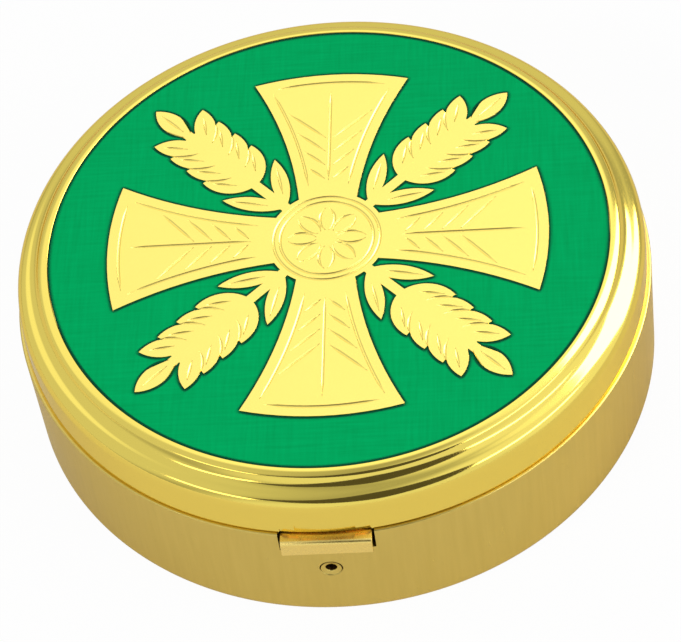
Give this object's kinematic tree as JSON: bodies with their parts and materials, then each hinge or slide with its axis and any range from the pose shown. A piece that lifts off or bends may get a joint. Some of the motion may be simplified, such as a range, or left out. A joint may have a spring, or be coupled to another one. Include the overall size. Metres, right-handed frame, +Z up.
{
  "type": "pyx",
  "caption": "Round shallow gold-plated box for carrying communion hosts, with a hinged lid inlaid with green enamel and a spring catch at the front.",
  "frame": {"origin": "centre of the flat underside of the base", "axes": "+Z up through the lid, -Y towards the catch, +Y towards the hinge, +X to the right of the catch"},
  "size_m": [0.054, 0.0545, 0.016],
  "materials": {
    "satin_gold": "gold-plated brass, wall brushed up and down to a fine satin",
    "polished_gold": "gold-plated brass, buffed bright",
    "struck_gold": "gold-plated brass, struck and engraved, bright satin",
    "green_enamel": "opaque green cold enamel, satin, with a fine crossed texture"
  },
  "bodies": {
    "base": {"base_cup": "satin_gold", "inner_collar": "polished_gold", "catch_rivet": "polished_gold", "base_knuckle_1": "polished_gold", "base_knuckle_2": "polished_gold", "base_knuckle_3": "polished_gold", "hinge_pin": "polished_gold"},
    "lid": {"lid_shell": "polished_gold", "medallion_plate": "struck_gold", "enamel_field": "green_enamel", "lid_knuckle_1": "polished_gold", "lid_knuckle_2": "polished_gold"},
    "catch": {"catch_spring": "polished_gold"}
  },
  "joints": [
    {"name": "lid_hinge", "type": "hinge", "parent": "base", "child": "lid", "pos_m": [0, 0.0261, 0.0112], "axis": [-1, 0, 0], "range_deg": [0, 105]},
    {"name": "catch_press", "type": "hinge", "parent": "base", "child": "catch", "pos_m": [0, -0.0258, 0.0066], "axis": [-1, 0, 0], "range_deg": [0, 5], "stiffness_Nm_per_rad": 0.135}
  ]
}
